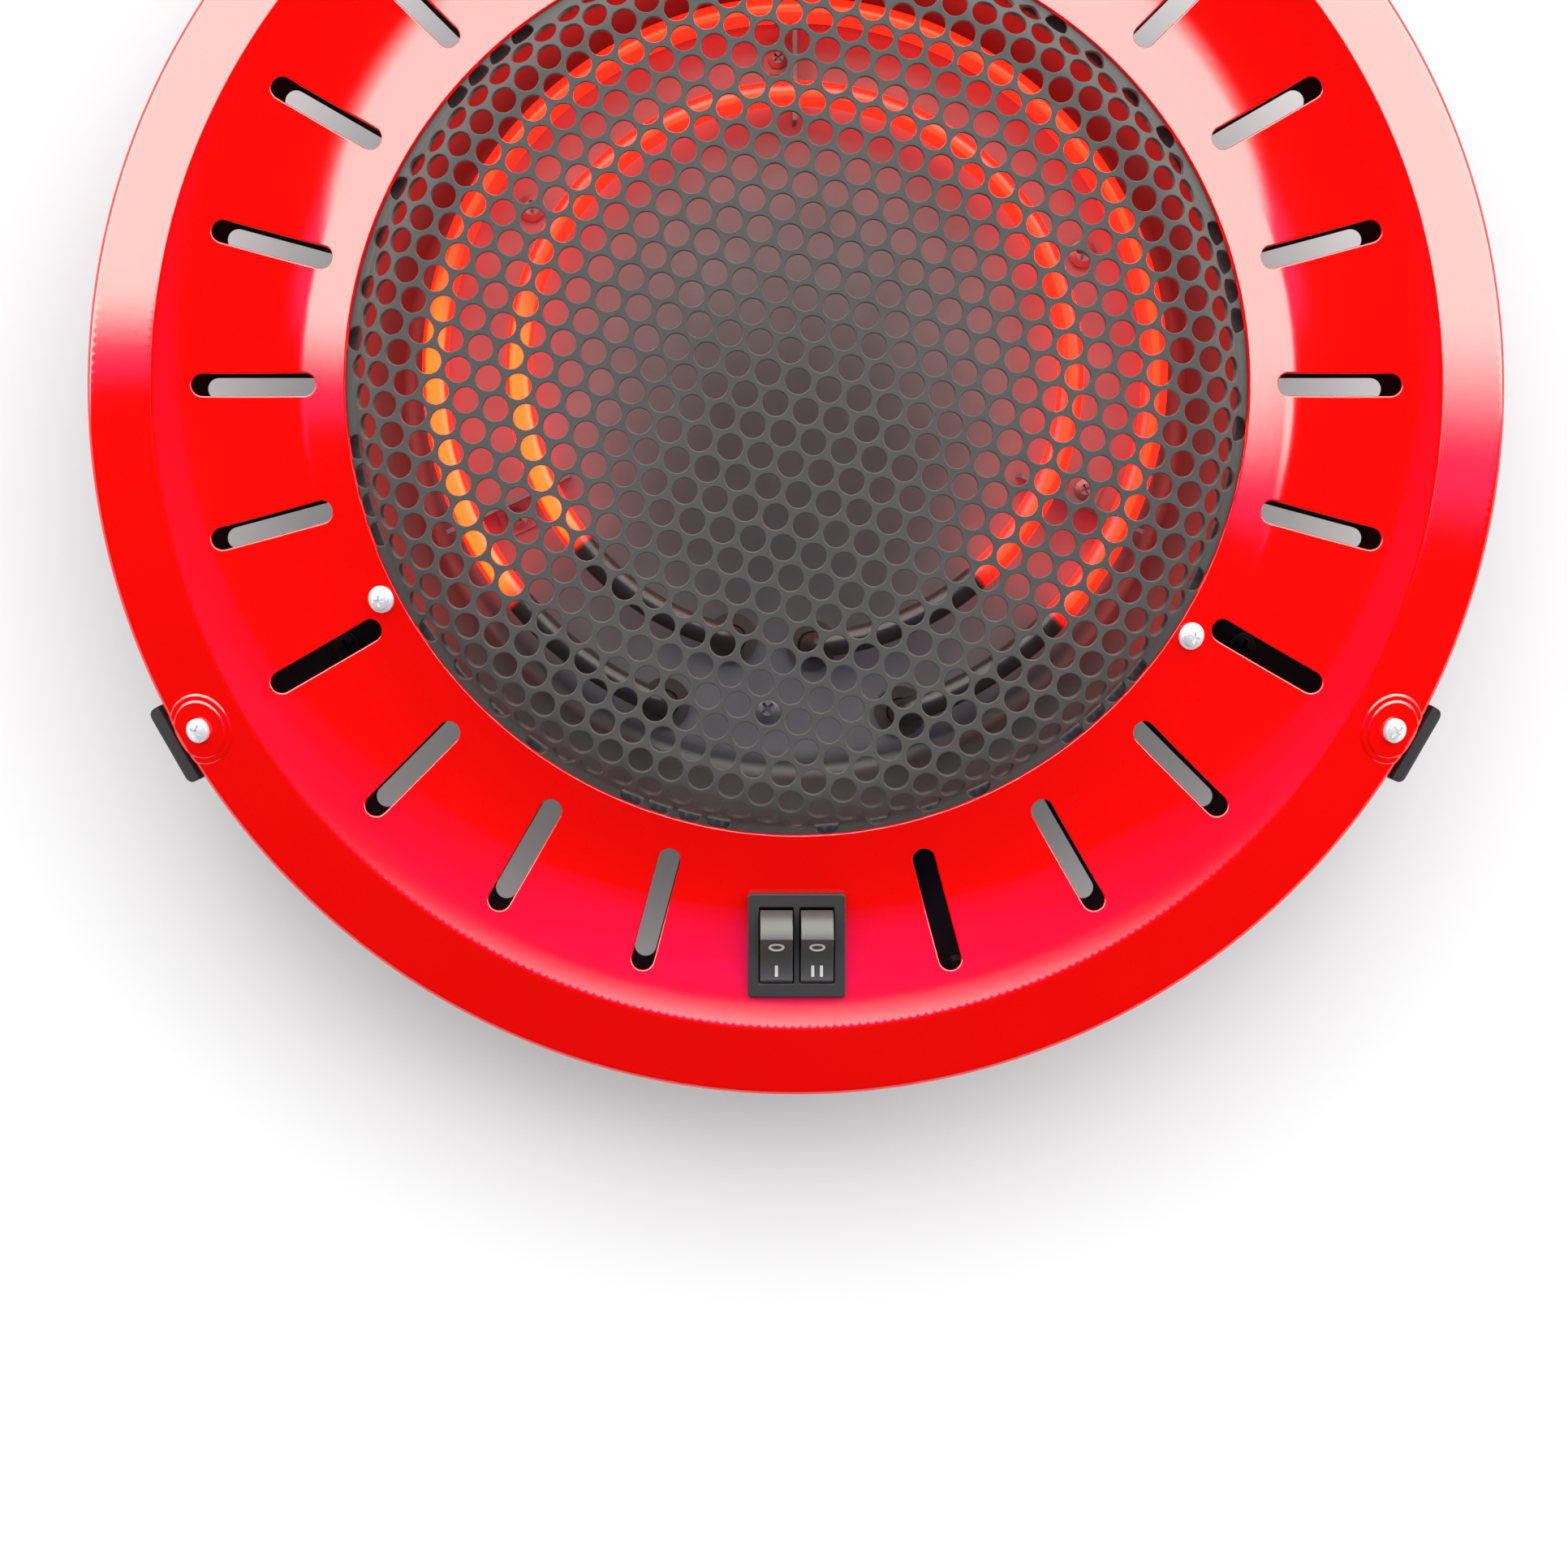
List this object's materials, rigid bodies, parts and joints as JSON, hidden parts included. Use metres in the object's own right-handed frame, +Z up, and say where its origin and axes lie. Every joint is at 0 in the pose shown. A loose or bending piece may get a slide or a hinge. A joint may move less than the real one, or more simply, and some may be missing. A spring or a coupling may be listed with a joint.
{
  "type": "electric brazier",
  "caption": "Low round electric heater: dished red ring plate on feet, perforated grille over ring heating tubes, reflector, base pan and a double rocker switch.",
  "frame": {"origin": "on the ring plate's axis, at floor level under the feet", "axes": "+Z up, -Y towards the rocker switch at the front, +X to the right of the switch seen from above with the switch nearest"},
  "size_m": [0.3799, 0.3848, 0.0886],
  "materials": {
    "red_enamel": "glossy enamel on pressed steel",
    "black_steel": "heat-proof satin black paint",
    "zinc": "bright zinc plating",
    "bright_steel": "bright rolled sheet",
    "hot_tube": "oxidised steel sheath, glowing red when on",
    "ceramic": "unglazed steatite",
    "black_plastic": "fine matt grain",
    "switch_plastic": "fine matt grain",
    "rocker_plastic": "semi-gloss",
    "pale_plastic": "natural nylon",
    "dark_plastic": "moulded phenolic",
    "black_rubber": "matt rubber",
    "brass": "plain rolled brass",
    "lead_brown": "silicone sheath",
    "lead_white": "silicone sheath",
    "lead_blue": "silicone sheath",
    "lead_green": "silicone sheath, green and yellow"
  },
  "bodies": {
    "brazier": {"top_plate": "red_enamel", "grille": "black_steel", "grille_screws": "zinc", "grille_nuts": "zinc", "reflector": "bright_steel", "reflector_screws": "zinc", "reflector_spacers": "zinc", "reflector_nuts": "zinc", "heater_inner": "hot_tube", "heater_outer": "hot_tube", "heater_bushes": "ceramic", "heater_pins": "zinc", "tube_supports": "bright_steel", "support_screws": "zinc", "support_nuts": "zinc", "base_pan": "black_steel", "foot_rear": "black_plastic", "foot_left": "black_plastic", "foot_right": "black_plastic", "foot_screws": "zinc", "pan_screws": "black_steel", "switch_housing": "switch_plastic", "common_terminal": "brass", "switched_terminals": "brass", "wiring_box": "black_plastic", "box_screws": "black_steel", "cord_gland": "black_rubber", "cord_clamp": "pale_plastic", "clamp_screws": "zinc", "terminal_block": "ceramic", "block_screws": "zinc", "thermal_cutout": "dark_plastic", "cutout_bracket": "bright_steel", "cutout_screw": "zinc", "earth_screw": "brass", "earth_nut": "brass", "lead_supply": "lead_brown", "lead_switch": "lead_brown", "lead_inner": "lead_white", "lead_outer": "lead_white", "lead_link": "lead_blue", "lead_neutral": "lead_blue", "lead_earth": "lead_green"},
    "left_rocker": {"rocker_left": "rocker_plastic", "plunger_left": "pale_plastic", "plunger_spring_left": "bright_steel"},
    "right_rocker": {"rocker_right": "rocker_plastic", "plunger_right": "pale_plastic", "plunger_spring_right": "bright_steel"},
    "left_lever": {"contact_lever_left": "brass"},
    "right_lever": {"contact_lever_right": "brass"}
  },
  "joints": [
    {"name": "left_rocker_turn", "type": "hinge", "parent": "brazier", "child": "left_rocker", "pos_m": [-0.00537, -0.1484, 0.06596], "axis": [-1, 0, 0], "range_deg": [0, 44]},
    {"name": "right_rocker_turn", "type": "hinge", "parent": "brazier", "child": "right_rocker", "pos_m": [0.00537, -0.1484, 0.06596], "axis": [-1, 0, 0], "range_deg": [0, 44]},
    {"name": "left_lever_turn", "type": "hinge", "parent": "brazier", "child": "left_lever", "pos_m": [-0.00537, -0.1484, 0.05626], "axis": [1, 0, 0], "range_deg": [0, 16]},
    {"name": "right_lever_turn", "type": "hinge", "parent": "brazier", "child": "right_lever", "pos_m": [0.00537, -0.1484, 0.05626], "axis": [1, 0, 0], "range_deg": [0, 16]}
  ],
  "couplings": [
    {"joint": "left_lever_turn", "follows": "left_rocker_turn", "ratio": 0.3636},
    {"joint": "right_lever_turn", "follows": "right_rocker_turn", "ratio": 0.3636}
  ]
}
